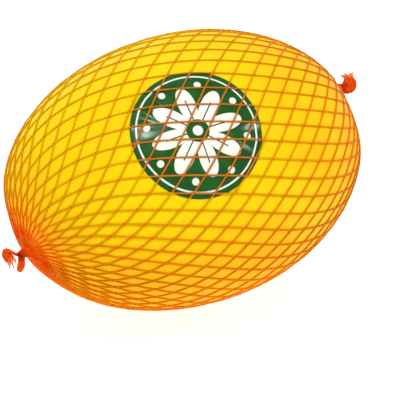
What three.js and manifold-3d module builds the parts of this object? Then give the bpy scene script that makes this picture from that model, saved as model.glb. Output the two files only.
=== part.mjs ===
// A whole canary melon in a knotted plastic net, with a round paper label under the net.
// Millimetres, +Z up. The melon lies along X, and the origin is the middle of the small
// flat spot, pressed into the net underneath, that it rests on.

import * as THREE from 'three';
import { mergeVertices } from 'three/addons/utils/BufferGeometryUtils.js';
import Module from 'manifold-3d';

// Melon
const MELON_LENGTH = 210;
const MELON_WIDTH = 152;
const MELON_SIDES = 48;
const MELON_RINGS = 28;

// Net: two families of strands that cross in equal-sided diamonds
const STRANDS_PER_FAMILY = 26;
const DIAMOND_SIDE = 15.8;
const STRAND_HALF_WIDTH = 1.35;
const STRAND_THICKNESS = 1.9;
const STRAND_SHARE_AT_ENDS = 0.3;
const NET_GAP = 0.85;
const NET_END_RADIUS = 6.5;
const REST_FLATTENING = 1.25;

// The net's axis leans away from the melon's: first off the X axis, then round it
const NET_TURN = THREE.MathUtils.degToRad(14.4);
const NET_ROLL = THREE.MathUtils.degToRad(27.9);

// Label
const LABEL_DIAMETER = 69;
const LABEL_THICKNESS = 0.6;
const LABEL_GAP = 0.3;
const LABEL_SHIFT = -16.6;
const LABEL_LIFT = THREE.MathUtils.degToRad(51.7);
const LABEL_SIDES = 36;
const LABEL_RINGS = 6;
const NET_RISE_OVER_LABEL = 0.65;
const RISE_MARGIN = 8;
const RISE_FADE = 20;

// Gathered collar at each end: its slope is listed as shares of the rim's radius and heights
const COLLAR_RADIUS = NET_END_RADIUS + 1.6;
const COLLAR_SLOPE = [[1, 1.4], [0.75, 2.9], [0.5, 4.0], [0, 4.4]];
const COLLAR_UNDERSIDE = 0.55;
const COLLAR_UNDERSIDE_CURVE = 80;
const COLLAR_PLEATS = 13;
const COLLAR_PLEAT_DEPTH = 0.05;

// Knots, as points out from the rind, down and sideways, each with a radius
const NEAR_KNOT = [
  [[1.5, 0, 0, 4.2], [4, -0.8, 0, 2.4], [6, -0.4, -0.6, 2.0]],
  [[4.6, -0.4, -0.4, 1.5], [6.8, -0.4, -4, 1.0], [8, 2.0, -8.6, 2.2], [9, 4.6, -10.4, 2.5], [9.8, 6.6, -7.6, 1.2]],
  [[4.6, -0.6, -0.6, 1.6], [5.5, 6, -2.4, 1.7], [5.9, 11, -4.2, 2.2], [6, 13.4, -5.4, 1.4]],
];
const FAR_KNOT = [
  [[1.5, 0, 0, 4.2], [6, 0, -1.4, 2.6], [11, 0, -3, 2.4]],
  [[9.6, -0.2, -2.6, 1.8], [13, 0.2, -4.8, 3.6], [15.6, -2.6, -5.2, 3.6], [16, -6.2, -3.4, 1.8]],
];
const KNOT_SIDES = 8;
const KNOT_STEPS = 3;
const KNOT_TIP = 0.5;

// Worked out from the dimensions above
const A = MELON_LENGTH / 2;
const B = MELON_WIDTH / 2;
const MELON_CENTRE_Z = B + NET_GAP + STRAND_THICKNESS - REST_FLATTENING;
const CENTRE = new THREE.Vector3(0, 0, MELON_CENTRE_Z);
const DOWN = new THREE.Vector3(0, 0, -1);

const NET_AXIS = new THREE.Vector3(
  Math.cos(NET_TURN),
  Math.sin(NET_TURN) * Math.cos(NET_ROLL),
  Math.sin(NET_TURN) * Math.sin(NET_ROLL),
);
const NET_UP = DOWN.clone().projectOnPlane(NET_AXIS).normalize();
const NET_SIDE = new THREE.Vector3().crossVectors(NET_AXIS, NET_UP);

const LABEL_ALONG = LABEL_SHIFT / A;
const LABEL_DIRECTION = new THREE.Vector3(
  LABEL_ALONG,
  -Math.sqrt(1 - LABEL_ALONG ** 2) * Math.cos(LABEL_LIFT),
  Math.sqrt(1 - LABEL_ALONG ** 2) * Math.sin(LABEL_LIFT),
);

// The rind is a sphere stretched along X: a direction on the unit sphere names each of its points
function rindNormal(direction) {
  return new THREE.Vector3(direction.x / A, direction.y / B, direction.z / B).normalize();
}

function overRind(direction, height) {
  const point = new THREE.Vector3(direction.x * A, direction.y * B, direction.z * B);
  return point.addScaledVector(rindNormal(direction), height).add(CENTRE);
}

function netDirection(polar, longitude) {
  return NET_AXIS.clone().multiplyScalar(Math.cos(polar))
    .addScaledVector(NET_UP, Math.sin(polar) * Math.cos(longitude))
    .addScaledVector(NET_SIDE, Math.sin(polar) * Math.sin(longitude));
}

function closedGeometry(points, faces) {
  const geometry = new THREE.BufferGeometry();
  geometry.setAttribute('position', new THREE.Float32BufferAttribute(points.flatMap((p) => p.toArray()), 3));
  geometry.setIndex(faces.flat());
  return geometry;
}

function addQuad(faces, a, b, c, d) {
  faces.push([a, b, c], [a, c, d]);
}

// Melon
function melonGeometry() {
  const geometry = new THREE.SphereGeometry(1, MELON_SIDES, MELON_RINGS);
  geometry.rotateZ(-Math.PI / 2);
  geometry.scale(A, B, B);
  geometry.translate(0, 0, MELON_CENTRE_Z);
  return geometry;
}

// Label: a round patch, seen square on as a true circle, that follows the rind
function labelGeometry() {
  const middle = overRind(LABEL_DIRECTION, 0).sub(CENTRE);
  const normal = rindNormal(LABEL_DIRECTION);
  const across = new THREE.Vector3(1, 0, 0).projectOnPlane(normal).normalize();
  const upward = new THREE.Vector3().crossVectors(normal, across);
  const points = [];
  const faces = [];
  const directionAt = (radius, angle) => {
    const flat = middle.clone()
      .addScaledVector(across, radius * Math.cos(angle))
      .addScaledVector(upward, radius * Math.sin(angle));
    const start = new THREE.Vector3(flat.x / A, flat.y / B, flat.z / B);
    const step = new THREE.Vector3(normal.x / A, normal.y / B, normal.z / B);
    const half = start.dot(step) / step.lengthSq();
    const drop = half - Math.sqrt(half ** 2 - (start.lengthSq() - 1) / step.lengthSq());
    return start.addScaledVector(step, -drop);
  };
  const heights = [LABEL_GAP + LABEL_THICKNESS, LABEL_GAP];
  const ringStart = (layer, ring) => layer * (1 + LABEL_RINGS * LABEL_SIDES) + 1 + (ring - 1) * LABEL_SIDES;
  for (const height of heights) {
    points.push(overRind(LABEL_DIRECTION, height));
    for (let ring = 1; ring <= LABEL_RINGS; ring += 1) {
      const radius = (LABEL_DIAMETER / 2) * (ring / LABEL_RINGS);
      for (let side = 0; side < LABEL_SIDES; side += 1) {
        points.push(overRind(directionAt(radius, (2 * Math.PI * side) / LABEL_SIDES), height));
      }
    }
  }
  for (let side = 0; side < LABEL_SIDES; side += 1) {
    const next = (side + 1) % LABEL_SIDES;
    const top = ringStart(0, 1);
    const under = ringStart(1, 1);
    faces.push([0, top + side, top + next], [under - 1, under + next, under + side]);
    for (let ring = 1; ring < LABEL_RINGS; ring += 1) {
      const inner = ringStart(0, ring);
      const outer = ringStart(0, ring + 1);
      addQuad(faces, inner + side, outer + side, outer + next, inner + next);
      const innerUnder = ringStart(1, ring);
      const outerUnder = ringStart(1, ring + 1);
      addQuad(faces, innerUnder + next, outerUnder + next, outerUnder + side, innerUnder + side);
    }
    const rimTop = ringStart(0, LABEL_RINGS);
    const rimUnder = ringStart(1, LABEL_RINGS);
    addQuad(faces, rimTop + side, rimUnder + side, rimUnder + next, rimTop + next);
  }
  return closedGeometry(points, faces);
}

// Net rows: a step along the net from one row of crossings to the next is a diamond side,
// less what the strands' slant takes from it
function nextRow(polar, sign) {
  const substeps = 40;
  let angle = polar;
  for (let i = 0; i < substeps; i += 1) {
    const slant = (Math.PI * B * Math.sin(angle)) / STRANDS_PER_FAMILY / DIAMOND_SIDE;
    const perRadian = Math.hypot(A * Math.sin(angle), B * Math.cos(angle));
    angle += (sign * DIAMOND_SIDE * Math.sqrt(1 - slant ** 2)) / perRadian / substeps;
  }
  return angle;
}

function netRows() {
  const rest = Math.acos(NET_AXIS.dot(DOWN));
  const farEnd = Math.asin(NET_END_RADIUS / B);
  const nearEnd = Math.PI - farEnd;
  const rows = [rest];
  for (let polar = nextRow(rest, -1); polar > farEnd; polar = nextRow(polar, -1)) {
    rows.push(polar);
  }
  for (let polar = nextRow(rest, 1); polar < nearEnd; polar = nextRow(polar, 1)) {
    rows.unshift(polar);
  }
  const restRow = rows.indexOf(rest) + 1;
  return { rows: [nearEnd, ...rows, farEnd], restRow };
}

function netHeight(direction) {
  const reach = overRind(direction, 0).distanceTo(overRind(LABEL_DIRECTION, 0)) - LABEL_DIAMETER / 2;
  const rise = 1 - THREE.MathUtils.smoothstep(reach, RISE_MARGIN, RISE_MARGIN + RISE_FADE);
  return NET_GAP + NET_RISE_OVER_LABEL * rise;
}

// One crossing: a flat diamond outside, with a single point under it towards the rind
function crossingPoints(polar, longitude) {
  const direction = netDirection(polar, longitude);
  const height = netHeight(direction);
  const inner = overRind(direction, height);
  const outer = overRind(direction, height + STRAND_THICKNESS);
  const spacing = (2 * Math.PI * B * Math.sin(polar)) / STRANDS_PER_FAMILY;
  const halfAcross = Math.min(STRAND_HALF_WIDTH, STRAND_SHARE_AT_ENDS * spacing);
  const nudge = 0.001;
  const along = overRind(netDirection(polar - nudge, longitude), 0).sub(overRind(direction, 0)).normalize();
  const across = overRind(netDirection(polar, longitude + nudge), 0).sub(overRind(direction, 0)).normalize();
  const corners = [
    outer.clone().addScaledVector(across, halfAcross),
    outer.clone().addScaledVector(along, STRAND_HALF_WIDTH),
    outer.clone().addScaledVector(across, -halfAcross),
    outer.clone().addScaledVector(along, -STRAND_HALF_WIDTH),
  ];
  for (const corner of corners) {
    corner.z = Math.max(corner.z, 0);
  }
  return [...corners, inner];
}

// A closed lattice: every strand between two crossings is a three-sided bar
function latticeGeometry(rows, restRow) {
  const points = [];
  const faces = [];
  const count = STRANDS_PER_FAMILY;
  const halfStep = Math.PI / count;
  const crossing = (row, index) => {
    const first = (row * count + ((index % count) + count) % count) * 5;
    return { right: first, up: first + 1, left: first + 2, low: first + 3, inner: first + 4 };
  };
  rows.forEach((polar, row) => {
    for (let index = 0; index < count; index += 1) {
      points.push(...crossingPoints(polar, (2 * index + (row - restRow)) * halfStep));
    }
  });
  rows.forEach((polar, row) => {
    for (let index = 0; index < count; index += 1) {
      const here = crossing(row, index);
      addQuad(faces, here.right, here.up, here.left, here.low);
      if (row === 0) {
        faces.push([here.low, here.left, here.inner], [here.right, here.low, here.inner]);
      }
      if (row === rows.length - 1) {
        faces.push([here.up, here.right, here.inner], [here.left, here.up, here.inner]);
        continue;
      }
      const there = crossing(row + 1, index);
      addQuad(faces, here.right, there.low, there.left, here.up);
      addQuad(faces, there.low, here.right, here.inner, there.inner);
      addQuad(faces, here.up, there.left, there.inner, here.inner);
      const back = crossing(row + 1, index - 1);
      addQuad(faces, here.up, back.right, back.low, here.left);
      addQuad(faces, back.right, here.up, here.inner, back.inner);
      addQuad(faces, here.left, back.low, back.inner, here.inner);
    }
  });
  return closedGeometry(points, faces);
}

// Frame at an end of the net: out of the rind, down and sideways
function endFrame(direction) {
  const out = rindNormal(direction);
  const down = DOWN.clone().projectOnPlane(out).normalize();
  const side = new THREE.Vector3().crossVectors(out, down);
  const place = overRind(direction, 0);
  return new THREE.Matrix4().makeBasis(down, side, out).setPosition(place);
}

// Collar: the last rows drawn together into a pleated cone that runs into the knot
function collarGeometry(frame) {
  const underside = [0, 0.5, 1].map((share) => {
    const radius = share * COLLAR_RADIUS;
    return new THREE.Vector2(radius, COLLAR_UNDERSIDE - radius ** 2 / 2 / COLLAR_UNDERSIDE_CURVE);
  });
  const slope = COLLAR_SLOPE.map(([share, height]) => new THREE.Vector2(share * COLLAR_RADIUS, height));
  const geometry = new THREE.LatheGeometry([...underside, ...slope], 2 * COLLAR_PLEATS);
  geometry.rotateX(Math.PI / 2);
  const position = geometry.getAttribute('position');
  for (let i = 0; i < position.count; i += 1) {
    const angle = Math.atan2(position.getY(i), position.getX(i));
    const pleat = 1 + COLLAR_PLEAT_DEPTH * Math.cos(COLLAR_PLEATS * angle);
    position.setXY(i, position.getX(i) * pleat, position.getY(i) * pleat);
  }
  return geometry.applyMatrix4(frame);
}

// Knot lobe: a round bar that swells and thins along its route, rounded off at both ends
function lobeGeometry(frame, route) {
  const stops = route.map(([out, down, side]) => new THREE.Vector3(down, side, out));
  const curve = new THREE.CatmullRomCurve3(stops);
  const steps = (route.length - 1) * KNOT_STEPS;
  const frames = curve.computeFrenetFrames(steps, false);
  const points = [curve.getPoint(0)];
  const faces = [];
  for (let step = 0; step <= steps; step += 1) {
    const at = step / KNOT_STEPS;
    const before = Math.min(Math.floor(at), route.length - 2);
    const radius = THREE.MathUtils.lerp(route[before][3], route[before + 1][3], at - before);
    const centre = curve.getPoint(step / steps);
    for (let side = 0; side < KNOT_SIDES; side += 1) {
      const angle = (2 * Math.PI * side) / KNOT_SIDES;
      points.push(centre.clone()
        .addScaledVector(frames.normals[step], radius * Math.cos(angle))
        .addScaledVector(frames.binormals[step], radius * Math.sin(angle)));
    }
  }
  const tipReach = route[route.length - 1][3] * KNOT_TIP;
  points.push(curve.getPoint(1).addScaledVector(frames.tangents[steps], tipReach));
  const tip = points.length - 1;
  for (let side = 0; side < KNOT_SIDES; side += 1) {
    const next = (side + 1) % KNOT_SIDES;
    faces.push([0, 1 + next, 1 + side]);
    for (let step = 0; step < steps; step += 1) {
      const ring = 1 + step * KNOT_SIDES;
      addQuad(faces, ring + side, ring + next, ring + KNOT_SIDES + next, ring + KNOT_SIDES + side);
    }
    const last = 1 + steps * KNOT_SIDES;
    faces.push([tip, last + side, last + next]);
  }
  return closedGeometry(points, faces).applyMatrix4(frame);
}

// Joining pieces of netting into one solid
const wasm = await Module();
wasm.setup();

function toSolid(geometry) {
  const bare = geometry.clone();
  bare.deleteAttribute('normal');
  bare.deleteAttribute('uv');
  const merged = mergeVertices(bare, 1e-4);
  return new wasm.Manifold(new wasm.Mesh({
    numProp: 3,
    vertProperties: new Float32Array(merged.getAttribute('position').array),
    triVerts: new Uint32Array(merged.getIndex().array),
  }));
}

function toGeometry(solid) {
  const mesh = solid.getMesh();
  const geometry = new THREE.BufferGeometry();
  geometry.setAttribute('position', new THREE.BufferAttribute(mesh.vertProperties, 3));
  geometry.setIndex(new THREE.BufferAttribute(mesh.triVerts, 1));
  return geometry;
}

function netGeometry() {
  const { rows, restRow } = netRows();
  const farEnd = endFrame(NET_AXIS);
  const nearEnd = endFrame(NET_AXIS.clone().negate());
  const pieces = [
    latticeGeometry(rows, restRow),
    collarGeometry(farEnd),
    collarGeometry(nearEnd),
    ...FAR_KNOT.map((route) => lobeGeometry(farEnd, route)),
    ...NEAR_KNOT.map((route) => lobeGeometry(nearEnd, route)),
  ];
  return toGeometry(wasm.Manifold.union(pieces.map(toSolid)));
}

// Assembly
function part(name, geometry, color, roughness) {
  geometry.computeVertexNormals();
  const material = new THREE.MeshStandardMaterial({ color, roughness, metalness: 0 });
  const mesh = new THREE.Mesh(geometry, material);
  mesh.name = name;
  return mesh;
}

const nettedMelon = new THREE.Group();
nettedMelon.add(part('melon', melonGeometry(), 0xffcc05, 0.4));
nettedMelon.add(part('label', labelGeometry(), 0x0f7a3d, 0.35));
nettedMelon.add(part('net', netGeometry(), 0xe8501a, 0.35));

export default nettedMelon;
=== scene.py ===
import math

import bpy
import numpy as np
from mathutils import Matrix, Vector


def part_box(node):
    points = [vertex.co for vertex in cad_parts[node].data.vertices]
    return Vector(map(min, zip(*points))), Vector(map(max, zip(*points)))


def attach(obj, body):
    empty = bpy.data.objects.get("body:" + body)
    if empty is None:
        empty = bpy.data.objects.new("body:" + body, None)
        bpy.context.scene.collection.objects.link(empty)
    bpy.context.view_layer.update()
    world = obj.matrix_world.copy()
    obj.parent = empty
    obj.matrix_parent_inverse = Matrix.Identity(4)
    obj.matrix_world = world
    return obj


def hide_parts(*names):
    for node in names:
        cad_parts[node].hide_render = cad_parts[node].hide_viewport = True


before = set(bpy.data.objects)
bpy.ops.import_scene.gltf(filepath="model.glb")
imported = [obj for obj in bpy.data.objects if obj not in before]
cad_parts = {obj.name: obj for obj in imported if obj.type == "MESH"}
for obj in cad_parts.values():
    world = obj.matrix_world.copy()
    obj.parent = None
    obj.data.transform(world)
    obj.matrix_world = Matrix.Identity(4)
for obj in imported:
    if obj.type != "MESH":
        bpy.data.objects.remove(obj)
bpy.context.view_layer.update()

# Melon: its size from the frame, and its relief, which fades out over the spot that it rests on
MELON_LOW, MELON_HIGH = (np.array(corner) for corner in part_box("melon"))
CENTRE = (MELON_LOW + MELON_HIGH) / 2
SEMI = (MELON_HIGH - MELON_LOW) / 2
MELON_SIDES = 288
MELON_RINGS = 144
FURROW_COUNT = 10
FURROW_DEPTH = 0.00016
FURROW_SWAY = 0.6
SWELL_COUNT = 3
SWELL_DEPTH = 0.00025
REST_FLAT = (0.88, 0.96)

# Where the melon is flatter than an oval, and the scar of its stalk: direction, depth and reach
FLATTER_PLACES = [((-0.96, 0.2, -0.15), 0.0024, 0.2), ((-0.85, -0.2, -0.49), 0.0008, 0.25),
                  ((0.925, -0.24, 0.28), 0.0018, 0.26)]
SCAR_PLACE = ((1.0, 0.0, 0.0), 0.0011, 0.08)
SCAR_RADIUS = 0.0055
SCAR_RAGGED = 0.0008
SCAR_EDGE = 0.75
SCAR_STRENGTH = 0.8

# Net, in metres and radians: the strands of each family, their lattice, their section and their slimmer ends
STRANDS = 38
DIAMOND_SIDE = 0.0108
NET_TURN = math.radians(19.9)
NET_ROLL = math.radians(21.2)
NET_PHASE = math.radians(47.8)
ROW_SHIFT = -2.91
END_POLAR = 0.085
STRAND_RADIUS = 0.00047
STRAND_FLATNESS = 0.8
STRAND_SIDES = 8
STEPS_PER_ROW = 5
NECK_STEPS = 10
NECK_BEND = (0.0014, 0.003)
NECK_CLOSE = 0.7
NECK_TILT = 0.3
SLIM_SHARE = 0.42
SLIM_SPREAD = (0.03, 0.6)
STRAND_WAVE = 0.1
WAVE_STEP = 0.9
WAVE_SHIFT = 1.7
STRAND_SHADE = 0.4
SHADE_START = 0.05
PRESSED_FLAT = (0.955, 0.99)
POLE_GAP = 0.03
TABLE_STEPS = 600

# Fused joints of the net: their mesh, their size in strand radii and how far they run to the ends
JOINT_SIDES = 8
JOINT_RINGS = 5
JOINT_END = 0.2
JOINT_WIDTHS = (1.5, 2.1)
JOINT_HEIGHT = 1.1
JOINT_STRETCH = (2.4, 1.2)
JOINT_STEP = 0.01
JOINT_SHADE = 0.6
JOINT_POLE = 0.05

# Uneven pull of the net over the melon: how far, and towards which longitude
PULL_POLAR_EVEN = (0.155, math.radians(96.2))
PULL_POLAR_ENDS = (0.131, math.radians(-157.8))
PULL_ROUND_EVEN = (0.130, math.radians(-27.5))
PULL_ROUND_ENDS = (0.0875, math.radians(-42.8))
RIPPLES = (0.006, 0.005, 0.006)

# Gathered ends: the axis through the two necks, as in the CAD
NECK_TURN = math.radians(14.4)
NECK_ROLL = math.radians(27.9)
NECK_REACH = 0.45

# Label: its size, its place on the melon and the puckers of its paper
LABEL_RADIUS = 0.0345
LABEL_SHIFT = -0.0166
LABEL_LIFT = math.radians(51.7)
LABEL_GAP = 0.00006
LABEL_THICKNESS = 0.00018
LABEL_SIDES = 480
LABEL_RINGS = 60
PUCKER_HEIGHT = 0.0003
PUCKER_COUNT = 22
PUCKER_PLACES = (math.radians(140), math.radians(-22))
PUCKER_SPREAD = 0.5
PUCKER_FROM = (0.5, 0.8)
PUCKER_WAVE = 0.6
PUCKER_CLEAR = 1.6
LABEL_EDGE = 0.001
LABEL_RAMP = 0.004

# Label's design, as shares of its radius: pairs are the start and end of a soft edge
PETAL_FOOT = 0.3
PETAL_LENGTH = 0.42
PETAL_EDGE = (-0.008, 0.008)
PETAL_PAIRS = 4.0
VEIN_WIDTH = (0.03, 0.05)
VEIN_END = (0.5, 0.52)
HEART_EDGE = (0.17, 0.186)
SEED_EDGE = (0.07, 0.086)
DOT_PLACE = 0.76
DOT_SPREAD = 0.19
DOT_EDGE = (0.047, 0.06)
LINE_PLACE = 0.91
LINE_EDGE = (0.008, 0.018)

# Knots, near where the CAD has them: points out from the rind, down and sideways, each with a radius, in mm
NEAR_NECK = [(1.2, 0, 0, 3.4), (4, -1.2, 0, 2.1), (6.2, -0.8, -0.2, 1.7)]
NEAR_STALK = [(6.2, -0.6, -0.6, 0.9), (7, -0.2, -3.4, 0.55), (8, -1.4, -5.5, 0.55), (9, -2.1, -7.7, 0.8),
              (9.6, -0.9, -9.5, 1.0)]
NEAR_LEAF = [(9.5, -1.2, -9.2, 1.2), (9.9, 0.1, -8.6, 2.1), (10.3, 0.8, -6.9, 2.6), (10.7, 1.2, -5.0, 2.5),
             (10.9, 1.4, -3.9, 2.1)]
NEAR_LOBE = [(6, -0.3, 0, 1.5), (6.5, 4, -0.6, 1.75), (6.8, 8, -1.9, 1.9), (7, 11.5, -3.7, 1.5),
             (7, 12.8, -4.4, 0.5)]
FAR_NECK = [(1.2, 0, 0, 4.2), (5, -0.9, -2, 3.0), (10, -1.2, -3.9, 2.6)]
FAR_FIST = [(9.4, -1.2, -3.7, 2.6), (12.5, -0.9, -5.2, 3.7), (14.5, -1.5, -5.8, 4.2), (16, -2.9, -4.5, 3.7),
            (16.5, -4.6, -3.6, 2.5)]
KNOT_FACING = {-1: (0.47, -0.68, 0.57), 1: (-0.47, -0.68, -0.57)}
KNOT_STEPS = 9
MILLIMETRE = 0.001

# Bundles of each knot: route, strands, flatness and length of the frayed ends
NEAR_BUNDLES = [(NEAR_NECK, 22, 1.0, 0.0), (NEAR_STALK, 8, 1.0, 0.0), (NEAR_LEAF, 22, 0.6, 0.0027),
                (NEAR_LOBE, 20, 0.85, 0.0)]
FAR_BUNDLES = [(FAR_NECK, 26, 1.0, 0.0), (FAR_FIST, 40, 0.85, 0.0026)]
CORE_SIDES = 24
CORE_SHARE = 0.8
# The cores take the darkest colour, painted shade between the strands of each bundle
CORE_PAINTED_SHADE = 0.9
CORE_TAPER = 12
CORE_END = 1.02
BUNDLE_SIDES = 6
BUNDLE_SHADE = 0.5
BUNDLE_TWIST = 1.1
BUNDLE_SWAY = 0.3
BUNDLE_DEPTHS = (0.55, 1.0)
BUNDLE_WIDTHS = (0.75, 1.0)
FRAY_STEPS = 5
FRAY_SPREAD = 0.28
FRAY_BOW = 0.3
FRAY_LENGTHS = (0.15, 1.1)
FRAY_SHADE = -1.0
FRAY_PALENESS = 0.8

# Knots: piece, end, neck, bundles and the radius of the coil round the neck
KNOTS = [("net_knot_near", -1, NEAR_NECK, NEAR_BUNDLES, 0.0019),
         ("net_knot_far", 1, FAR_NECK, FAR_BUNDLES, 0.0029)]
COIL_TURNS = 3
COIL_STEPS = 24
COIL_SIDES = 8
COIL_THICKNESS = 1.25
COIL_SHADE = 0.3

# Where the rind turns orange along its length, which is painted shade towards its ends and its far side: two
# shares of the half length, and the strength
ENDS_PAINTED_SHADE = (0.78, 1.05, 0.52)
FAR_SIDE_PAINTED_SHADE = (-0.05, 0.6, 0.45)
FAR_TIP_PAINTED_SHADE = (0.6, 0.9, 0.42)

# Where it turns orange low down, which is painted shade: two shares of the centre's height, and the strength
LOW_PAINTED_SHADE = (0.55, 1.5, 0.7)

# Where it turns orange round the gathers: two distances from them, and the strength
GATHER_WARM = (0.014, 0.044, 0.75)

# How uneven the change is
UNEVEN_WARM = 0.14

# Where the net changes colour: shares of the centre's height for its painted light and shade, and of the
# half length for its redder far end
PAINTED_UNDERLIGHT_HEIGHTS = (0.4, 0.9)
PAINTED_TOPLIGHT_HEIGHTS = (1.0, 1.5)
FAR_LENGTHS = (-0.1, 0.85)

# Where the net turns red near the gathers, and where the knots darken near the necks as painted shade: two
# distances, and the strength
GATHER_RED = (0.008, 0.037, 0.92)
NECK_PAINTED_SHADE = (0.0018, 0.0045, 0.75)

# Grain of the materials: scale, detail and roughness of the noise
BROAD_NOISE = (22.0, 2.0, 0.5)
MOTTLE_NOISE = (260.0, 4.0, 0.6)
PORE_NOISE = (1400.0, 2.0, 0.5)
STREAK_NOISE = (700.0, 3.0, 0.5)
FIBRE_NOISE = (900.0, 3.0, 0.5)
CLOUD_NOISE = (90.0, 2.0, 0.5)
FLOOR_NOISE = (60.0, 4.0, 0.5)

# Relief of the grain: strength and distance
MOTTLE_BUMP = (0.12, 0.0004)
PORE_BUMP = (0.1, 0.0001)
STREAK_BUMP = (0.2, 0.0002)
FIBRE_BUMP = (0.08, 0.0001)

# Bands of the noise that show, and how strongly
NOISE_BAND = (0.3, 0.7)
FLECK_BAND = (0.52, 0.72)
FLECK_STRENGTH = 0.22
STREAK_BAND = (0.35, 0.7)
STRAND_STREAKS = 0.35
KNOT_STREAKS = 0.3

# Gloss of the materials
RIND_ROUGHNESS = (0.36, 0.48)
RIND_SPECULAR = 0.06
RIND_SUBSURFACE = 0.25
RIND_SUBSURFACE_RADIUS = (1.0, 0.5, 0.05)
RIND_SUBSURFACE_SCALE = 0.005
NET_ROUGHNESS = (0.3, 0.46)
NET_SPECULAR = 0.025
LABEL_ROUGHNESS = (0.26, 0.38)
LABEL_SPECULAR = 0.02
LABEL_COAT = 0.55
LABEL_COAT_ROUGHNESS = 0.2
FLOOR_ROUGHNESS = 0.6

# Colours, in linear light
RIND_YELLOW = (0.87, 0.62, 0.005)
RIND_ORANGE = (1.0, 0.38, 0.007)
RIND_FLECK = (0.8, 0.45, 0.0)
RIND_GLOSS = (1.0, 0.7, 0.12, 1.0)
CORK_DARK = (0.38, 0.11, 0.008)
CORK_LIGHT = (0.85, 0.4, 0.06)
NET_GLOSS = (1.0, 0.4, 0.04, 1.0)
# By height the net's colours are painted light and shade: "high" is a painted lit top, "low" is darker
# painted shade lower down, and "under" is lighter again, painted light against the shade near the bottom
STRAND_COLOURS = {
    "under": (1.0, 0.27, 0.0),
    "low": (0.7, 0.22, 0.0),
    "high": (0.69, 0.43, 0.0),
    "far": (0.7, 0.21, 0.0),
    "over_label": (0.46, 0.14, 0.02),
    "shaded": (0.58, 0.19, 0.0),
}
# The joints carry the same painted light and shade by height as the strands
JOINT_COLOURS = {
    "under": (1.0, 0.2, 0.0),
    "low": (0.8, 0.14, 0.0),
    "high": (0.8, 0.24, 0.0),
    "far": (0.75, 0.12, 0.0),
    "over_label": (0.55, 0.12, 0.01),
    "shaded": (0.55, 0.11, 0.0),
}
GATHERED_BRIGHT = (1.0, 0.11, 0.0)
GATHERED_DARK = (0.72, 0.03, 0.0)
KNOT_BRIGHT = (0.9, 0.11, 0.008)
KNOT_STREAK = (0.5, 0.035, 0.0)
KNOT_DARK = (0.42, 0.022, 0.001)
KNOT_FRAY = (0.95, 0.4, 0.2)
KNOT_NECK_SHADE = (0.3, 0.008, 0.003)
LABEL_GREENS = ((0.002, 0.056, 0.001), (0.004, 0.092, 0.005))
LABEL_WHITES = ((0.78, 0.78, 0.7), (0.86, 0.86, 0.78))
FLOOR_GREYS = ((0.4, 0.4, 0.4), (0.44, 0.44, 0.44))
WHITE = (1.0, 1.0, 1.0, 1.0)

# Floor and lights: each light's place from the melon's centre, its power and its size
FLOOR_REACH = 6.0
FLOOR_GLOW = 0.81
SKY_STRENGTH = 0.8
LIGHTS = [("key_light", (-0.26, -0.24, 1.25), 5.9, 0.22), ("fill_light", (0.68, -0.7, 0.86), 1.9, 0.1),
          ("back_light", (0.1, 1.15, 0.25), 1.6, 0.8)]

# Camera: where it stands and what it looks at, from the melon's centre
CAMERA_PLACE = (-0.3120, -0.6120, 0.4860)
CAMERA_AIM = (0.0022, -0.0128, -0.0140)
CAMERA_LENS = 135.0
CAMERA_SENSOR = 36.0
CAMERA_CLIP = 20.0

rng = np.random.default_rng(7)


# Geometry helpers
def unit(vectors):
    return vectors / np.linalg.norm(vectors, axis=-1, keepdims=True)


def rind_normal(directions):
    return unit(directions / SEMI)


def on_ellipsoid(directions):
    return CENTRE + directions * SEMI


def rind_sink(directions):
    polar = np.arccos(np.clip(directions[..., 0], -1, 1))
    around = np.arctan2(directions[..., 2], directions[..., 1])
    furrows = FURROW_DEPTH * (1 - np.cos(FURROW_COUNT * around + FURROW_SWAY * np.sin(2 * polar)))
    swell = SWELL_DEPTH * (1 + np.sin(SWELL_COUNT * around + 2 * polar) * np.cos(2 * polar + 1.0))
    uneven = np.sin(polar) ** 2 * (1 - smooth_step(*REST_FLAT, -directions[..., 2]))
    sink = uneven * (furrows + swell)
    for towards, depth, reach in FLATTER_PLACES + [SCAR_PLACE]:
        sink = sink + depth * np.exp(-((directions - np.array(towards)) ** 2).sum(-1) / reach ** 2)
    return sink


def over_rind(directions, height):
    raised = np.asarray(height) - rind_sink(directions)
    return on_ellipsoid(directions) + rind_normal(directions) * raised[..., None]


def axis_at(turn, roll):
    return np.array([math.cos(turn), math.sin(turn) * math.cos(roll), math.sin(turn) * math.sin(roll)])


def smooth_step(low, high, value):
    t = np.clip((value - low) / (high - low), 0, 1)
    return t * t * (3 - 2 * t)


def new_piece(name, points, faces, material):
    mesh = bpy.data.meshes.new(name)
    mesh.from_pydata(points.reshape(-1, 3).tolist(), [], faces)
    mesh.polygons.foreach_set("use_smooth", np.ones(len(mesh.polygons), dtype=bool))
    mesh.update()
    piece = bpy.data.objects.new(name, mesh)
    bpy.context.scene.collection.objects.link(piece)
    mesh.materials.append(material)
    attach(piece, "root")
    return piece


def tube_faces(rings, sides, start):
    ring = np.arange(rings - 1)[:, None] * sides + start
    side = np.arange(sides)[None, :]
    after = (side + 1) % sides
    quads = np.stack([ring + side, ring + after, ring + sides + after, ring + sides + side], axis=-1)
    return quads.reshape(-1, 4).tolist()


def bar_faces(rings, sides, start):
    faces = tube_faces(rings, sides, start)
    faces.append(list(range(start + sides - 1, start - 1, -1)))
    last = start + (rings - 1) * sides
    faces.append(list(range(last, last + sides)))
    return faces


def sweep_frame(route, outward):
    tangent = unit(np.gradient(route, axis=0))
    across = unit(np.cross(tangent, outward))
    return tangent, across, np.cross(across, tangent)


def bar_points(route, outward, width, depth, sides):
    _, across, upward = sweep_frame(route, outward)
    angle = np.arange(sides) * 2 * math.pi / sides
    ring = across[:, None] * np.cos(angle)[None, :, None] * width[:, None, None]
    ring = ring + upward[:, None] * np.sin(angle)[None, :, None] * depth[:, None, None]
    return route[:, None] + ring


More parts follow.
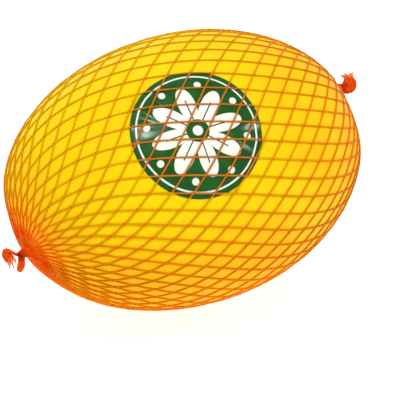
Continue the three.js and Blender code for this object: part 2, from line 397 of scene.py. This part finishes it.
def bars_piece(name, bars, material):
    points = []
    faces = []
    shades = []
    total = 0
    for bar, shade in bars:
        rings, sides = bar.shape[:2]
        points.append(bar.reshape(-1, 3))
        faces += bar_faces(rings, sides, total)
        shades.append(np.repeat(np.broadcast_to(shade, rings), sides))
        total += rings * sides
    points = np.vstack(points)
    points[:, 2] = np.maximum(points[:, 2], 0)
    piece = new_piece(name, points, faces, material)
    layer = piece.data.attributes.new("shade", "FLOAT", "POINT")
    layer.data.foreach_set("value", np.concatenate(shades))
    return piece


# Material helpers
def new_material(name):
    material = bpy.data.materials.new(name)
    material.use_nodes = True
    return material, material.node_tree, material.node_tree.nodes["Principled BSDF"]


def add_node(tree, kind, **settings):
    node = tree.nodes.new(kind)
    for name, value in settings.items():
        setattr(node, name, value)
    return node


def object_place(tree):
    return add_node(tree, "ShaderNodeTexCoord").outputs["Object"]


def split_axes(tree, vector):
    axes = add_node(tree, "ShaderNodeSeparateXYZ")
    tree.links.new(vector, axes.inputs[0])
    return axes.outputs


def math_node(tree, operation, first, second=None):
    node = add_node(tree, "ShaderNodeMath", operation=operation)
    for socket, value in zip(node.inputs, (first, second)):
        if value is None:
            continue
        if isinstance(value, (int, float)):
            socket.default_value = value
        else:
            tree.links.new(value, socket)
    return node.outputs[0]


def shade_node(tree):
    return add_node(tree, "ShaderNodeAttribute", attribute_name="shade").outputs["Fac"]


def distance_node(tree, vector, point):
    node = add_node(tree, "ShaderNodeVectorMath", operation="DISTANCE")
    tree.links.new(vector, node.inputs[0])
    node.inputs[1].default_value = tuple(point)
    return node.outputs["Value"]


def from_gathers(tree, place):
    return math_node(tree, "MINIMUM", *[distance_node(tree, place, end_frame(sign)[0]) for sign in (-1, 1)])


def noise_node(tree, vector, scale, detail, roughness):
    node = add_node(tree, "ShaderNodeTexNoise")
    node.inputs["Scale"].default_value = scale
    node.inputs["Detail"].default_value = detail
    node.inputs["Roughness"].default_value = roughness
    tree.links.new(vector, node.inputs["Vector"])
    return node.outputs["Fac"]


def range_node(tree, value, low, high, to_low, to_high):
    node = add_node(tree, "ShaderNodeMapRange", interpolation_type="SMOOTHSTEP")
    tree.links.new(value, node.inputs["Value"])
    for name, number in (("From Min", low), ("From Max", high), ("To Min", to_low), ("To Max", to_high)):
        node.inputs[name].default_value = number
    return node.outputs["Result"]


def mix_node(tree, factor, first, second):
    node = add_node(tree, "ShaderNodeMix", data_type="RGBA")
    tree.links.new(factor, node.inputs["Factor"])
    for socket, value in ((node.inputs[6], first), (node.inputs[7], second)):
        if isinstance(value, tuple):
            socket.default_value = (*value, 1.0)
        else:
            tree.links.new(value, socket)
    return node.outputs[2]


def bump_node(tree, height, strength, distance, normal=None):
    node = add_node(tree, "ShaderNodeBump")
    node.inputs["Strength"].default_value = strength
    node.inputs["Distance"].default_value = distance
    tree.links.new(height, node.inputs["Height"])
    if normal is not None:
        tree.links.new(normal, node.inputs["Normal"])
    return node.outputs["Normal"]


# Materials
# Orange on the rind: painted shade towards the ends, the far side and the bottom, and more orange round the
# gathers and in random patches
def rind_warmth_and_shade(tree, place):
    axes = split_axes(tree, place)
    along = math_node(tree, "ABSOLUTE", axes["X"])
    # Orange towards the ends and the far side is painted shade
    ends = range_node(tree, along, SEMI[0] * ENDS_PAINTED_SHADE[0], SEMI[0] * ENDS_PAINTED_SHADE[1], 0.0, ENDS_PAINTED_SHADE[2])
    far = [range_node(tree, axes["X"], SEMI[0] * start, SEMI[0] * finish, 0.0, strength)
           for start, finish, strength in (FAR_SIDE_PAINTED_SHADE, FAR_TIP_PAINTED_SHADE)]
    # Orange low down is painted shade
    low = range_node(tree, axes["Z"], CENTRE[2] * LOW_PAINTED_SHADE[0], CENTRE[2] * LOW_PAINTED_SHADE[1], LOW_PAINTED_SHADE[2], 0.0)
    gathers = range_node(tree, from_gathers(tree, place), *GATHER_WARM, 0.0)
    warm = math_node(tree, "MAXIMUM", ends, math_node(tree, "ADD", *far))
    warm = math_node(tree, "MAXIMUM", warm, math_node(tree, "MAXIMUM", low, gathers))
    broad = noise_node(tree, place, *BROAD_NOISE)
    uneven = range_node(tree, broad, *NOISE_BAND, -UNEVEN_WARM, UNEVEN_WARM)
    warm = math_node(tree, "ADD", warm, uneven)
    return math_node(tree, "MINIMUM", math_node(tree, "MAXIMUM", warm, 0.0), 1.0)


def on_scar(tree, place, mottle):
    away = distance_node(tree, place, on_ellipsoid(np.array(SCAR_PLACE[0])))
    away = math_node(tree, "ADD", away, range_node(tree, mottle, *NOISE_BAND, -SCAR_RAGGED, SCAR_RAGGED))
    return range_node(tree, away, SCAR_RADIUS * SCAR_EDGE, SCAR_RADIUS, SCAR_STRENGTH, 0.0)


def rind_material():
    material, tree, shader = new_material("rind")
    place = object_place(tree)
    mottle = noise_node(tree, place, *MOTTLE_NOISE)
    pores = noise_node(tree, place, *PORE_NOISE)
    colour = mix_node(tree, rind_warmth_and_shade(tree, place), RIND_YELLOW, RIND_ORANGE)
    flecks = range_node(tree, mottle, *FLECK_BAND, 0.0, FLECK_STRENGTH)
    colour = mix_node(tree, flecks, colour, RIND_FLECK)
    cork = mix_node(tree, mottle, CORK_DARK, CORK_LIGHT)
    colour = mix_node(tree, on_scar(tree, place, mottle), colour, cork)
    tree.links.new(colour, shader.inputs["Base Color"])
    tree.links.new(range_node(tree, mottle, *NOISE_BAND, *RIND_ROUGHNESS), shader.inputs["Roughness"])
    shader.inputs["Specular IOR Level"].default_value = RIND_SPECULAR
    shader.inputs["Specular Tint"].default_value = RIND_GLOSS
    shader.inputs["Subsurface Weight"].default_value = RIND_SUBSURFACE
    shader.inputs["Subsurface Radius"].default_value = RIND_SUBSURFACE_RADIUS
    shader.inputs["Subsurface Scale"].default_value = RIND_SUBSURFACE_SCALE
    normal = bump_node(tree, mottle, *MOTTLE_BUMP)
    normal = bump_node(tree, pores, *PORE_BUMP, normal)
    tree.links.new(normal, shader.inputs["Normal"])
    return material


def net_finish(tree, shader, colour, streaks):
    tree.links.new(colour, shader.inputs["Base Color"])
    tree.links.new(range_node(tree, streaks, *NOISE_BAND, *NET_ROUGHNESS), shader.inputs["Roughness"])
    shader.inputs["Specular IOR Level"].default_value = NET_SPECULAR
    shader.inputs["Specular Tint"].default_value = NET_GLOSS
    tree.links.new(bump_node(tree, streaks, *STREAK_BUMP), shader.inputs["Normal"])


def net_material(name, under, low, high, far, over_label, shaded):
    material, tree, shader = new_material(name)
    place = object_place(tree)
    axes = split_axes(tree, place)
    streaks = noise_node(tree, place, *STREAK_NOISE)
    # Painted light and shade by height: lighter near the bottom, darker lower down, golden on top
    upper, top = (range_node(tree, axes["Z"], CENTRE[2] * start, CENTRE[2] * finish, 0.0, 1.0)
                  for start, finish in (PAINTED_UNDERLIGHT_HEIGHTS, PAINTED_TOPLIGHT_HEIGHTS))
    to_far = range_node(tree, axes["X"], SEMI[0] * FAR_LENGTHS[0], SEMI[0] * FAR_LENGTHS[1], 0.0, 1.0)
    colour = mix_node(tree, top, mix_node(tree, upper, under, low), high)
    colour = mix_node(tree, to_far, colour, far)
    from_label = distance_node(tree, place, LABEL_MIDDLE)
    on_label = range_node(tree, from_label, LABEL_RADIUS, LABEL_RADIUS + LABEL_EDGE, 1.0, 0.0)
    colour = mix_node(tree, on_label, colour, over_label)
    colour = mix_node(tree, range_node(tree, streaks, *STREAK_BAND, 0.0, STRAND_STREAKS), colour, shaded)
    colour = mix_node(tree, shade_node(tree), colour, shaded)
    near_end = range_node(tree, from_gathers(tree, place), *GATHER_RED, 0.0)
    darker = range_node(tree, shade_node(tree), SHADE_START, STRAND_SHADE, 0.0, 1.0)
    gathered = mix_node(tree, darker, GATHERED_BRIGHT, GATHERED_DARK)
    net_finish(tree, shader, mix_node(tree, near_end, colour, gathered), streaks)
    return material


def knot_material():
    material, tree, shader = new_material("netting_knot")
    place = object_place(tree)
    streaks = noise_node(tree, place, *STREAK_NOISE)
    streaked = range_node(tree, streaks, *STREAK_BAND, 0.0, KNOT_STREAKS)
    colour = mix_node(tree, streaked, KNOT_BRIGHT, KNOT_STREAK)
    # Darker by the shade attribute: a random tone for each strand, and painted shade on the cores
    colour = mix_node(tree, shade_node(tree), colour, KNOT_DARK)
    frayed = range_node(tree, shade_node(tree), FRAY_SHADE, 0.0, FRAY_PALENESS, 0.0)
    colour = mix_node(tree, frayed, colour, KNOT_FRAY)
    # Darker near the necks: painted shade where the strands are drawn together
    from_necks = [distance_node(tree, place, at_end(*end)[2]) for end in ((-1, NEAR_NECK), (1, FAR_NECK))]
    neck_shade = range_node(tree, math_node(tree, "MINIMUM", *from_necks), *NECK_PAINTED_SHADE, 0.0)
    net_finish(tree, shader, mix_node(tree, neck_shade, colour, KNOT_NECK_SHADE), streaks)
    return material


def label_white(tree, plane):
    axes = split_axes(tree, plane)
    across = math_node(tree, "SUBTRACT", axes["X"], 0.5)
    upward = math_node(tree, "SUBTRACT", axes["Y"], 0.5)
    squares = [math_node(tree, "MULTIPLY", value, value) for value in (across, upward)]
    radius = math_node(tree, "MULTIPLY", math_node(tree, "SQRT", math_node(tree, "ADD", *squares)), 2.0)
    turns = math_node(tree, "MULTIPLY", math_node(tree, "ARCTAN2", upward, across), PETAL_PAIRS)
    on_petal = math_node(tree, "ABSOLUTE", math_node(tree, "COSINE", turns))
    off_petal = math_node(tree, "ABSOLUTE", math_node(tree, "SINE", turns))
    edge = math_node(tree, "ADD", PETAL_FOOT, math_node(tree, "MULTIPLY", on_petal, PETAL_LENGTH))
    petals = range_node(tree, math_node(tree, "SUBTRACT", edge, radius), *PETAL_EDGE, 0.0, 1.0)
    vein = range_node(tree, math_node(tree, "MULTIPLY", off_petal, radius), *VEIN_WIDTH, 0.0, 1.0)
    vein = math_node(tree, "MAXIMUM", vein, range_node(tree, radius, *VEIN_END, 0.0, 1.0))
    heart = range_node(tree, radius, *HEART_EDGE, 0.0, 1.0)
    flower = math_node(tree, "MULTIPLY", math_node(tree, "MULTIPLY", petals, vein), heart)
    seed = range_node(tree, radius, *SEED_EDGE, 1.0, 0.0)
    sideways = math_node(tree, "MULTIPLY", on_petal, DOT_SPREAD)
    outwards = math_node(tree, "SUBTRACT", radius, DOT_PLACE)
    squares = [math_node(tree, "MULTIPLY", value, value) for value in (sideways, outwards)]
    dots = range_node(tree, math_node(tree, "SQRT", math_node(tree, "ADD", *squares)), *DOT_EDGE, 1.0, 0.0)
    from_ring = math_node(tree, "ABSOLUTE", math_node(tree, "SUBTRACT", radius, LINE_PLACE))
    ring = range_node(tree, from_ring, *LINE_EDGE, 1.0, 0.0)
    flower = math_node(tree, "MAXIMUM", flower, seed)
    return math_node(tree, "MAXIMUM", flower, math_node(tree, "MAXIMUM", dots, ring))


def label_material():
    material, tree, shader = new_material("label_paper")
    plane = add_node(tree, "ShaderNodeUVMap", uv_map="label_plane").outputs["UV"]
    place = object_place(tree)
    fibres = noise_node(tree, place, *FIBRE_NOISE)
    cloud = noise_node(tree, place, *CLOUD_NOISE)
    green = mix_node(tree, range_node(tree, cloud, *NOISE_BAND, 0.0, 1.0), *LABEL_GREENS)
    paper = mix_node(tree, range_node(tree, fibres, *NOISE_BAND, 0.0, 1.0), *LABEL_WHITES)
    tree.links.new(mix_node(tree, label_white(tree, plane), green, paper), shader.inputs["Base Color"])
    tree.links.new(range_node(tree, fibres, *NOISE_BAND, *LABEL_ROUGHNESS), shader.inputs["Roughness"])
    shader.inputs["Specular IOR Level"].default_value = LABEL_SPECULAR
    shader.inputs["Coat Weight"].default_value = LABEL_COAT
    shader.inputs["Coat Roughness"].default_value = LABEL_COAT_ROUGHNESS
    tree.links.new(bump_node(tree, fibres, *FIBRE_BUMP), shader.inputs["Normal"])
    return material


def floor_material():
    material, tree, shader = new_material("floor")
    grain = noise_node(tree, object_place(tree), *FLOOR_NOISE)
    colour = mix_node(tree, grain, *FLOOR_GREYS)
    tree.links.new(colour, shader.inputs["Base Color"])
    shader.inputs["Roughness"].default_value = FLOOR_ROUGHNESS
    shader.inputs["Emission Color"].default_value = WHITE
    shader.inputs["Emission Strength"].default_value = FLOOR_GLOW
    return material


# Melon
def make_melon():
    polar = np.linspace(0, math.pi, MELON_RINGS + 1)[1:-1]
    turn = np.arange(MELON_SIDES) * 2 * math.pi / MELON_SIDES
    grid, around = np.meshgrid(polar, turn, indexing="ij")
    across = np.sin(grid)
    directions = np.stack([np.cos(grid), across * np.cos(around), across * np.sin(around)], axis=-1)
    points = over_rind(directions, 0.0)
    tips = over_rind(np.array([[1.0, 0, 0], [-1.0, 0, 0]]), 0.0)
    rings, sides = grid.shape
    faces = tube_faces(rings, sides, 0)
    far_tip = rings * sides
    last = (rings - 1) * sides
    for side in range(sides):
        after = (side + 1) % sides
        faces.append([far_tip, after, side])
        faces.append([far_tip + 1, last + side, last + after])
    points = np.vstack([points.reshape(-1, 3), tips])
    melon = new_piece("melon_rind", points, faces, rind_material())
    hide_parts("melon")


# Label
LABEL_ALONG = LABEL_SHIFT / SEMI[0]
LABEL_ROUND = math.sqrt(1 - LABEL_ALONG ** 2)
LABEL_DIRECTION = np.array([LABEL_ALONG, -LABEL_ROUND * math.cos(LABEL_LIFT),
                            LABEL_ROUND * math.sin(LABEL_LIFT)])
LABEL_MIDDLE = on_ellipsoid(LABEL_DIRECTION)
LABEL_NORMAL = rind_normal(LABEL_DIRECTION)
LABEL_ACROSS = unit(np.array([1.0, 0, 0]) - LABEL_NORMAL * LABEL_NORMAL[0])
LABEL_UPWARD = np.cross(LABEL_NORMAL, LABEL_ACROSS)


def under_label(x, y):
    start = (LABEL_MIDDLE - CENTRE + x[..., None] * LABEL_ACROSS + y[..., None] * LABEL_UPWARD) / SEMI
    step = LABEL_NORMAL / SEMI
    half = start @ step / (step @ step)
    drop = half - np.sqrt(half ** 2 - ((start ** 2).sum(-1) - 1) / (step @ step))
    return start - drop[..., None] * step


def pucker_share(x, y):
    angle = np.arctan2(y, x)
    share = np.zeros_like(angle)
    for place in PUCKER_PLACES:
        apart = np.arctan2(np.sin(angle - place), np.cos(angle - place))
        share = share + np.exp(-(apart / PUCKER_SPREAD) ** 2)
    return share * smooth_step(*PUCKER_FROM, np.hypot(x, y) / LABEL_RADIUS)


def pucker_height(x, y):
    angle = np.arctan2(y, x)
    reach = np.hypot(x, y) / LABEL_RADIUS
    waves = np.sin(PUCKER_COUNT * angle + 5 * np.sin(3 * reach + 2 * angle))
    waves = waves + PUCKER_WAVE * np.sin(0.6 * PUCKER_COUNT * angle + 9 * reach)
    return PUCKER_HEIGHT * pucker_share(x, y) * (1 + waves / (1 + PUCKER_WAVE))


def make_label():
    angle = np.arange(LABEL_SIDES) * 2 * math.pi / LABEL_SIDES
    radius = LABEL_RADIUS * np.linspace(0, 1, LABEL_RINGS + 1)[1:, None]
    x = radius * np.cos(angle)
    y = radius * np.sin(angle)
    directions = under_label(x, y)
    top = over_rind(directions, LABEL_GAP + LABEL_THICKNESS + pucker_height(x, y))
    rim = over_rind(directions[-1], 0.0)
    middle = over_rind(LABEL_DIRECTION, LABEL_GAP + LABEL_THICKNESS)
    points = np.vstack([top.reshape(-1, 3), rim, middle[None]])
    last = len(points) - 1
    faces = [face[::-1] for face in tube_faces(LABEL_RINGS + 1, LABEL_SIDES, 0)]
    faces += [[last, side, (side + 1) % LABEL_SIDES] for side in range(LABEL_SIDES)]
    label = new_piece("label_sticker", points, faces, label_material())
    plane = np.vstack([np.stack([x, y], -1).reshape(-1, 2), np.stack([x[-1], y[-1]], -1), [[0, 0]]])
    plane = plane / (2 * LABEL_RADIUS) + 0.5
    layer = label.data.uv_layers.new(name="label_plane")
    corners = np.zeros(len(label.data.loops), dtype=np.int32)
    label.data.loops.foreach_get("vertex_index", corners)
    layer.data.foreach_set("uv", plane[corners].ravel())
    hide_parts("label")


# Net
NET_AXIS = axis_at(NET_TURN, NET_ROLL)
NET_UP = unit(np.array([0, 0, 1.0]) - NET_AXIS * NET_AXIS[2])
NET_SIDE = np.cross(NET_AXIS, NET_UP)
NECK_AXIS = axis_at(NECK_TURN, NECK_ROLL)


def net_rows():
    polar = np.linspace(POLE_GAP, math.pi - POLE_GAP, TABLE_STEPS)
    per_radian = np.hypot(SEMI[0] * np.sin(polar), SEMI[1] * np.cos(polar))
    slant = math.pi * SEMI[1] * np.sin(polar) / STRANDS / DIAMOND_SIDE
    rate = per_radian / DIAMOND_SIDE / np.sqrt(1 - slant ** 2)
    rows = np.concatenate([[0], np.cumsum((rate[1:] + rate[:-1]) / 2 * np.diff(polar))])
    return polar, rows - np.interp(math.pi / 2, polar, rows)


def net_direction(polar, longitude):
    pull_polar = PULL_POLAR_EVEN[0] * np.cos(longitude - PULL_POLAR_EVEN[1])
    pull_polar = pull_polar + np.cos(polar) * PULL_POLAR_ENDS[0] * np.cos(longitude - PULL_POLAR_ENDS[1])
    pull_round = PULL_ROUND_EVEN[0] * np.cos(longitude - PULL_ROUND_EVEN[1])
    pull_round = pull_round + np.cos(polar) * PULL_ROUND_ENDS[0] * np.cos(longitude - PULL_ROUND_ENDS[1])
    ripple = RIPPLES[0] * np.sin(5 * longitude + 4 * polar) + RIPPLES[1] * np.cos(3 * longitude - 7 * polar)
    p = polar + np.sin(polar) * (pull_polar + ripple)
    q = longitude + np.sin(polar) * (pull_round + RIPPLES[2] * np.sin(4 * longitude - 5 * polar + 1))
    direction = (NET_AXIS * np.cos(p)[..., None] + NET_UP * (np.sin(p) * np.cos(q))[..., None]
                 + NET_SIDE * (np.sin(p) * np.sin(q))[..., None])
    drawn = np.exp(-(np.sin(p) / NECK_REACH) ** 2) * np.sign(np.cos(p))
    return unit(direction + drawn[..., None] * (NECK_AXIS - NET_AXIS))


def strand_height(directions):
    from_label = on_ellipsoid(directions) - LABEL_MIDDLE
    reach = np.linalg.norm(from_label, axis=-1)
    on_label = 1 - smooth_step(LABEL_RADIUS, LABEL_RADIUS + LABEL_RAMP, reach)
    share = pucker_share(from_label @ LABEL_ACROSS, from_label @ LABEL_UPWARD)
    puckers = PUCKER_CLEAR * PUCKER_HEIGHT * share
    under = smooth_step(*PRESSED_FLAT, -directions[..., 2])
    slack = MELON_LOW[2] - 2 * STRAND_RADIUS * STRAND_FLATNESS
    lift = on_label * (LABEL_GAP + LABEL_THICKNESS + puckers) + under * slack
    return STRAND_RADIUS * STRAND_FLATNESS + lift


def end_frame(sign):
    direction = NECK_AXIS * sign
    out = rind_normal(direction)
    down = unit(np.array([0, 0, -1.0]) + out * out[2])
    return on_ellipsoid(direction), out, down, np.cross(out, down)


def along_end(sign, vector):
    _, out, down, side = end_frame(sign)
    return vector[0] * out + vector[1] * down + vector[2] * side


def at_end(sign, route):
    place, out, down, side = end_frame(sign)
    table = np.array(route) * MILLIMETRE
    return place + table[:, :1] * out + table[:, 1:2] * down + table[:, 2:3] * side


def neck_path(sign, start):
    place, out, _, _ = end_frame(sign)
    toward = unit(start - place - out * np.dot(start - place, out))
    route = NEAR_NECK if sign < 0 else FAR_NECK
    neck = at_end(sign, route)
    bend = place + out * NECK_BEND[0] + toward * NECK_BEND[1]
    finish = neck[1] + toward * NECK_CLOSE * MILLIMETRE * route[1][3]
    t = np.linspace(0, 1, NECK_STEPS + 1)[1:, None]
    path = (1 - t) ** 2 * start + 2 * t * (1 - t) * bend + t ** 2 * finish
    return path, unit(out * (1 - t) + toward * (NECK_TILT + t))


def strand_share(spread):
    return SLIM_SHARE + (1 - SLIM_SHARE) * smooth_step(*SLIM_SPREAD, spread)


def make_net(material):
    polar_table, row_table = net_rows()
    first = np.interp(END_POLAR, polar_table, row_table)
    last = np.interp(math.pi - END_POLAR, polar_table, row_table)
    rows = np.linspace(first, last, int((last - first) * STEPS_PER_ROW))
    polar = np.interp(rows, row_table, polar_table)
    spread = np.concatenate([np.zeros(NECK_STEPS), np.sin(polar), np.zeros(NECK_STEPS)])
    slimmer = strand_share(spread)
    bars = []
    for family in (1, -1):
        for strand in range(STRANDS):
            ladder = family * (ROW_SHIFT - rows) + 2 * strand
            directions = net_direction(polar, NET_PHASE - math.pi * ladder / STRANDS)
            route = over_rind(directions, strand_height(directions))
            far_path, far_out = neck_path(1, route[0])
            near_path, near_out = neck_path(-1, route[-1])
            route = np.vstack([far_path[::-1], route, near_path])
            outward = np.vstack([far_out[::-1], rind_normal(directions), near_out])
            wave = np.sin(np.arange(len(route)) * WAVE_STEP + strand * WAVE_SHIFT + family)
            size = STRAND_RADIUS * slimmer * (1 + STRAND_WAVE * wave)
            bar = bar_points(route, outward, size, size * STRAND_FLATNESS, STRAND_SIDES)
            bars.append((bar, rng.uniform(0, STRAND_SHADE)))
    net = bars_piece("net_strands", bars, material)
    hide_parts("net")


# Fused joints where the strands cross
def make_joints(material):
    polar_table, row_table = net_rows()
    theta = np.linspace(0, math.pi, JOINT_RINGS + 2)
    theta[0] = JOINT_POLE
    theta[-1] = math.pi - JOINT_POLE
    phi = np.arange(JOINT_SIDES) * 2 * math.pi / JOINT_SIDES
    theta, phi = np.meshgrid(theta, phi, indexing="ij")
    ball = np.stack([np.sin(theta) * np.cos(phi), np.sin(theta) * np.sin(phi), np.cos(theta)], axis=-1)
    ball = ball[::-1]
    bars = []
    low_row = math.ceil(ROW_SHIFT - row_table[-1])
    high_row = math.floor(ROW_SHIFT - row_table[0])
    for row in range(low_row, high_row + 1):
        polar = np.full(STRANDS, np.interp(ROW_SHIFT - row, row_table, polar_table))
        if math.sin(polar[0]) < JOINT_END:
            continue
        slim = strand_share(math.sin(polar[0]))
        longer = JOINT_STRETCH[0] - JOINT_STRETCH[1] * math.sin(polar[0])
        longitude = NET_PHASE - math.pi * (2 * np.arange(STRANDS) + row) / STRANDS
        directions = net_direction(polar, longitude)
        ahead = net_direction(polar - JOINT_STEP, longitude)
        centres = over_rind(directions, strand_height(directions))
        outward = rind_normal(directions)
        along = unit((ahead - directions) * SEMI)
        across = unit(np.cross(outward, along))
        for k in range(STRANDS):
            size = slim * STRAND_RADIUS * rng.uniform(*JOINT_WIDTHS)
            bar = (centres[k] + ball[..., :1] * along[k] * size * longer + ball[..., 1:2] * across[k] * size
                   + ball[..., 2:] * outward[k] * slim * STRAND_RADIUS * JOINT_HEIGHT)
            bars.append((bar, rng.uniform(0, JOINT_SHADE)))
    bars_piece("net_joints", bars, material)


# Knots: bundles of folded netting round a core, wound about at the neck
def spline(route):
    table = np.array(route, dtype=float)
    padded = np.vstack([2 * table[0] - table[1], table, 2 * table[-1] - table[-2]])
    result = []
    for i in range(len(table) - 1):
        a, b, c, d = padded[i:i + 4]
        for t in np.arange(KNOT_STEPS) / KNOT_STEPS:
            result.append(0.5 * (2 * b + (c - a) * t + (2 * a - 5 * b + 4 * c - d) * t ** 2
                                 + (3 * b - a - 3 * c + d) * t ** 3))
    result.append(table[-1])
    return np.array(result)


def fray(start, heading, length):
    aim = unit(heading + rng.normal(0, FRAY_SPREAD, 3))
    bow = rng.normal(0, FRAY_BOW, 3)
    t = np.linspace(0, 1, FRAY_STEPS + 1)[1:, None]
    reach = length * rng.uniform(*FRAY_LENGTHS)
    return start + reach * (aim * t + bow * t ** 2)


def bundle(sign, route, strands, flatness, fray_length):
    fine = spline(route)
    path = at_end(sign, fine[:, :3])
    radius = np.abs(fine[:, 3]) * MILLIMETRE
    facing = np.tile(along_end(sign, KNOT_FACING[sign]), (len(path), 1))
    tangent, across, upward = sweep_frame(path, facing)
    share = np.linspace(0, 1, len(path))
    core_radius = CORE_SHARE * radius * np.sqrt(np.clip(CORE_TAPER * (CORE_END - share), 0, 1))
    # The core is painted dark as shade between the strands
    bars = [(bar_points(path, facing, core_radius, core_radius * flatness, CORE_SIDES), CORE_PAINTED_SHADE)]
    for k in range(strands):
        depth = math.sqrt(rng.uniform(*BUNDLE_DEPTHS))
        turn = 2 * math.pi * k / strands + BUNDLE_TWIST * share + BUNDLE_SWAY * np.sin(6 * share + 2.4 * k)
        sideways = np.cos(turn)[:, None] * across + flatness * np.sin(turn)[:, None] * upward
        line = path + depth * radius[:, None] * sideways
        shade = np.full(len(line), rng.uniform(0, BUNDLE_SHADE))
        if fray_length > 0:
            loose = fray(line[-1], tangent[-1], fray_length)
            line = np.vstack([line, loose])
            shade = np.concatenate([shade, np.linspace(0, FRAY_SHADE, len(loose))])
        size = np.full(len(line), STRAND_RADIUS * rng.uniform(*BUNDLE_WIDTHS))
        outward = np.tile(facing[:1], (len(line), 1))
        bars.append((bar_points(line, outward, size, size, BUNDLE_SIDES), shade))
    return bars


def coil(sign, route, radius):
    path = at_end(sign, spline([point[:3] for point in route]))
    facing = np.tile(along_end(sign, KNOT_FACING[sign]), (len(path), 1))
    _, across, upward = sweep_frame(path, facing)
    share = np.linspace(0, 1, COIL_STEPS * COIL_TURNS)
    steps = np.linspace(0, len(path) - 1, len(share))
    place = np.array([np.interp(steps, np.arange(len(path)), path[:, axis]) for axis in range(3)]).T
    near = np.round(steps).astype(int)
    angle = share * COIL_TURNS * 2 * math.pi
    arm = np.cos(angle)[:, None] * across[near] + np.sin(angle)[:, None] * upward[near]
    size = np.full(len(share), COIL_THICKNESS * STRAND_RADIUS)
    return bar_points(place + arm * radius, arm, size, size, COIL_SIDES), COIL_SHADE


def make_knots(material):
    for name, sign, neck, bundles, coil_radius in KNOTS:
        bars = []
        for route, strands, flatness, fray_length in bundles:
            bars += bundle(sign, route, strands, flatness, fray_length)
        bars.append(coil(sign, neck[1:], coil_radius))
        bars_piece(name, bars, material)


# Floor, lights and camera
def make_stage():
    corners = [(FLOOR_REACH * x, FLOOR_REACH * y, 0) for x, y in ((-1, -1), (1, -1), (1, 1), (-1, 1))]
    mesh = bpy.data.meshes.new("floor")
    mesh.from_pydata(corners, [], [(0, 1, 2, 3)])
    floor = bpy.data.objects.new("floor", mesh)
    bpy.context.scene.collection.objects.link(floor)
    mesh.materials.append(floor_material())


def area_light(name, place, power, size, aim):
    light = bpy.data.lights.new(name, "AREA")
    light.energy = power
    light.size = size
    lamp = bpy.data.objects.new(name, light)
    lamp.location = place
    lamp.rotation_euler = (Vector(aim) - Vector(place)).to_track_quat("-Z", "Y").to_euler()
    bpy.context.scene.collection.objects.link(lamp)


def make_light():
    for name, offset, power, size in LIGHTS:
        area_light(name, CENTRE + np.array(offset), power, size, CENTRE)
    world = bpy.data.worlds.new("studio")
    world.use_nodes = True
    background = world.node_tree.nodes["Background"]
    background.inputs["Color"].default_value = WHITE
    background.inputs["Strength"].default_value = SKY_STRENGTH
    bpy.context.scene.world = world
    bpy.context.scene.view_settings.view_transform = "Standard"


def make_camera():
    data = bpy.data.cameras.new("camera")
    data.lens = CAMERA_LENS
    data.sensor_width = CAMERA_SENSOR
    data.clip_end = CAMERA_CLIP
    camera = bpy.data.objects.new("camera", data)
    place = Vector(CENTRE) + Vector(CAMERA_PLACE)
    aim = Vector(CENTRE) + Vector(CAMERA_AIM)
    camera.location = place
    camera.rotation_euler = (aim - place).to_track_quat("-Z", "Y").to_euler()
    bpy.context.scene.collection.objects.link(camera)
    bpy.context.scene.camera = camera


make_melon()
make_label()
make_net(net_material("netting", **STRAND_COLOURS))
make_joints(net_material("netting_joint", **JOINT_COLOURS))
make_knots(knot_material())
make_stage()
make_light()
make_camera()
